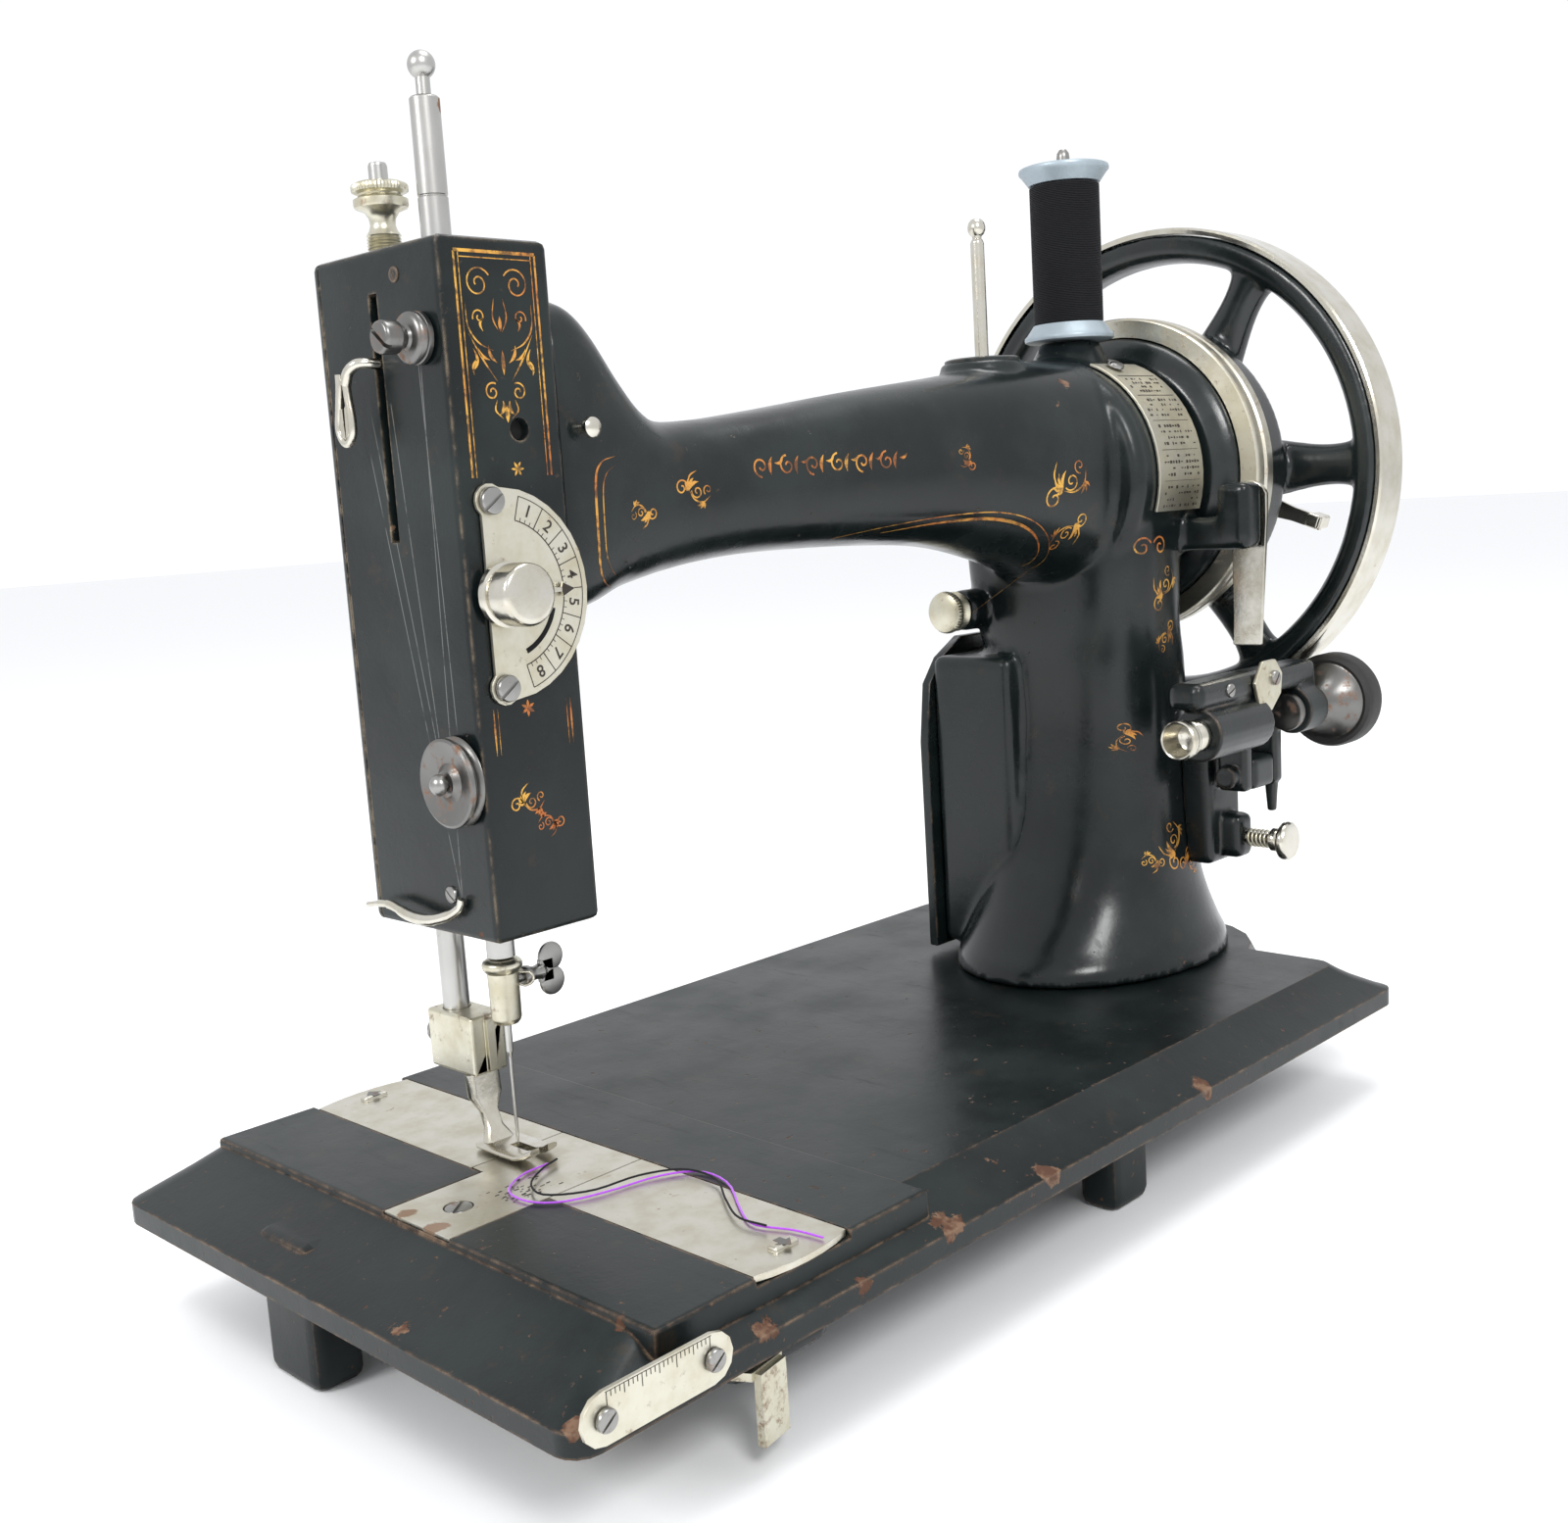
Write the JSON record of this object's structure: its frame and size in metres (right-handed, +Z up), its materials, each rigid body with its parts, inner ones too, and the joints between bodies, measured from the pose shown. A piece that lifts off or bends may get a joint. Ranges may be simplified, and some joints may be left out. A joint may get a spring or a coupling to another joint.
{
  "type": "sewing machine",
  "caption": "Treadle sewing machine head: cast bed and arm, tall needle head, spoked hand wheel, slide plates over a shuttle, and a bobbin winder.",
  "frame": {"origin": "centre of the whole machine's box at the level of its lowest feet", "axes": "+X runs along the arm from the needle to the hand wheel, +Y points to the back of the bed, +Z up"},
  "size_m": [0.3552, 0.1788, 0.2928],
  "materials": {
    "japanned_iron": "worn black japanning, semi-gloss, with gold ornament",
    "nickel_plate": "warm worn nickel plate",
    "bright_steel": "polished bar steel with light rust",
    "rusty_nickel": "nickel plate spotted with rust",
    "rubber_tyre": "aged black rubber on a dark hub",
    "spool_metal": "satin grey spool",
    "black_thread": "wound cotton thread",
    "purple_thread": "cotton thread"
  },
  "bodies": {
    "frame": {"bed": "japanned_iron", "arm_column": "japanned_iron", "head_housing": "japanned_iron", "head_rear_cover": "japanned_iron", "needle_plate": "nickel_plate", "needle_plate_screw": "bright_steel", "ruler_plate": "nickel_plate", "ruler_screw_left": "bright_steel", "ruler_screw_right": "bright_steel", "dial_plate": "nickel_plate", "dial_screw_lower": "bright_steel", "dial_screw_upper": "bright_steel", "face_thread_guide": "nickel_plate", "spool_pin": "bright_steel", "thread_pin": "nickel_plate", "scale_plate": "nickel_plate", "scale_plate_screw": "bright_steel", "column_rear_cover": "japanned_iron", "shuttle_race": "japanned_iron", "shaft_bush": "bright_steel", "check_stud": "bright_steel", "tension_stud": "bright_steel", "winder_bracket": "japanned_iron", "winder_strap": "nickel_plate", "strap_screw": "bright_steel", "presser_spring": "bright_steel", "purple_thread": "purple_thread", "black_thread": "black_thread"},
    "wheel": {"hand_wheel": "japanned_iron", "wheel_rim_band": "nickel_plate", "pulley_ring": "nickel_plate", "main_shaft": "bright_steel", "lever_cam": "bright_steel"},
    "stop_lever": {"stop_lever": "nickel_plate"},
    "needle_lever": {"needle_lever": "bright_steel"},
    "needle_bar": {"needle_bar": "bright_steel", "needle_clamp": "nickel_plate", "needle": "bright_steel"},
    "clamp_screw": {"needle_clamp_screw": "bright_steel"},
    "presser": {"presser_bar": "bright_steel", "presser_clamp": "nickel_plate", "presser_foot": "nickel_plate"},
    "lifter": {"presser_lifter": "nickel_plate"},
    "pressure_nut": {"pressure_nut": "nickel_plate"},
    "take_up": {"take_up_carrier": "bright_steel", "take_up_lever": "nickel_plate"},
    "tension_disc": {"tension_disc": "bright_steel"},
    "dial_knob": {"dial_knob": "nickel_plate"},
    "front_slide": {"front_slide_plate": "nickel_plate"},
    "rear_slide": {"rear_slide_plate": "nickel_plate"},
    "shuttle": {"shuttle_carrier": "bright_steel", "shuttle": "bright_steel"},
    "bed_lever": {"bed_lever": "rusty_nickel"},
    "thumb_screw": {"rear_thumb_screw": "nickel_plate"},
    "spool": {"thread_spool": "spool_metal", "spool_thread": "black_thread"},
    "winder_frame": {"winder_frame": "japanned_iron"},
    "winder_wheel": {"winder_wheel": "rubber_tyre"},
    "bobbin_cup": {"bobbin_cup": "nickel_plate"},
    "latch": {"latch_plunger": "nickel_plate"}
  },
  "joints": [
    {"name": "wheel_spin", "type": "hinge", "parent": "frame", "child": "wheel", "pos_m": [0.1548, -0.00155, 0.1914], "axis": [1, 0, 0], "continuous": true},
    {"name": "stop_lever_turn", "type": "hinge", "parent": "wheel", "child": "stop_lever", "pos_m": [0.1706, -0.01518, 0.18644], "axis": [1, 0, 0], "range_deg": [-15, 15]},
    {"name": "needle_lever_rock", "type": "hinge", "parent": "frame", "child": "needle_lever", "pos_m": [0.0364, 0.00815, 0.1985], "axis": [0, 1, 0], "range_deg": [-8.3, 3]},
    {"name": "needle_bar_slide", "type": "slide", "parent": "frame", "child": "needle_bar", "axis": [0, 0, 1], "range_m": [-0.022, 0.008]},
    {"name": "clamp_screw_turn", "type": "hinge", "parent": "needle_bar", "child": "clamp_screw", "pos_m": [-0.1136, 0.01215, 0.0825], "axis": [1, 0, 0], "range_deg": [-180, 180]},
    {"name": "lifter_swing", "type": "hinge", "parent": "frame", "child": "lifter", "pos_m": [-0.1081, 0.04145, 0.128], "axis": [0, 1, 0], "range_deg": [0, 80]},
    {"name": "presser_slide", "type": "slide", "parent": "frame", "child": "presser", "axis": [0, 0, 1], "range_m": [0, 0.0062], "deforming": ["presser_spring"]},
    {"name": "pressure_nut_turn", "type": "hinge", "parent": "frame", "child": "pressure_nut", "pos_m": [-0.1136, 0.03265, 0.2505], "axis": [0, 0, 1], "range_deg": [-360, 360]},
    {"name": "take_up_slide", "type": "slide", "parent": "frame", "child": "take_up", "axis": [0, 0, 1], "range_m": [-0.036, 0.013]},
    {"name": "tension_disc_spin", "type": "hinge", "parent": "frame", "child": "tension_disc", "pos_m": [-0.1284, 0.00055, 0.1341], "axis": [1, 0, 0], "continuous": true},
    {"name": "dial_turn", "type": "hinge", "parent": "frame", "child": "dial_knob", "pos_m": [-0.1196, -0.00805, 0.1745], "axis": [0, 1, 0], "range_deg": [-72, 72]},
    {"name": "front_slide_draw", "type": "slide", "parent": "frame", "child": "front_slide", "axis": [0, 1, 0], "range_m": [-0.055, 0]},
    {"name": "rear_slide_draw", "type": "slide", "parent": "frame", "child": "rear_slide", "axis": [0, 1, 0], "range_m": [0, 0.055]},
    {"name": "shuttle_stroke", "type": "slide", "parent": "frame", "child": "shuttle", "axis": [0, 1, 0], "range_m": [-0.018, 0.05]},
    {"name": "bed_lever_swing", "type": "hinge", "parent": "frame", "child": "bed_lever", "pos_m": [-0.1496, -0.04785, 0.0225], "axis": [0, 0, 1], "range_deg": [-25, 0]},
    {"name": "thumb_screw_turn", "type": "hinge", "parent": "frame", "child": "thumb_screw", "pos_m": [0.0804, 0.02415, 0.153], "axis": [1, 0, 0], "range_deg": [-180, 180]},
    {"name": "spool_spin", "type": "hinge", "parent": "frame", "child": "spool", "pos_m": [0.1089, -0.00155, 0.2339], "axis": [0, 0, 1], "continuous": true},
    {"name": "winder_tilt", "type": "hinge", "parent": "frame", "child": "winder_frame", "pos_m": [0.1264, -0.05075, 0.0996], "axis": [1, 0, 0], "range_deg": [0, 15]},
    {"name": "winder_wheel_spin", "type": "hinge", "parent": "winder_frame", "child": "winder_wheel", "pos_m": [0.16255, -0.06025, 0.1176], "axis": [1, 0, 0], "continuous": true},
    {"name": "bobbin_cup_pull", "type": "slide", "parent": "winder_frame", "child": "bobbin_cup", "axis": [1, 0, 0], "range_m": [-0.01, 0], "stiffness_N_per_m": 250},
    {"name": "latch_press", "type": "slide", "parent": "frame", "child": "latch", "axis": [0, 1, 0], "range_m": [0, 0.003], "stiffness_N_per_m": 400}
  ],
  "couplings": [
    {"joint": "needle_bar_slide", "follows": "needle_lever_rock", "m_per_rad": 0.15},
    {"joint": "lifter_swing", "follows": "presser_slide", "rad_per_m": 222.2}
  ]
}
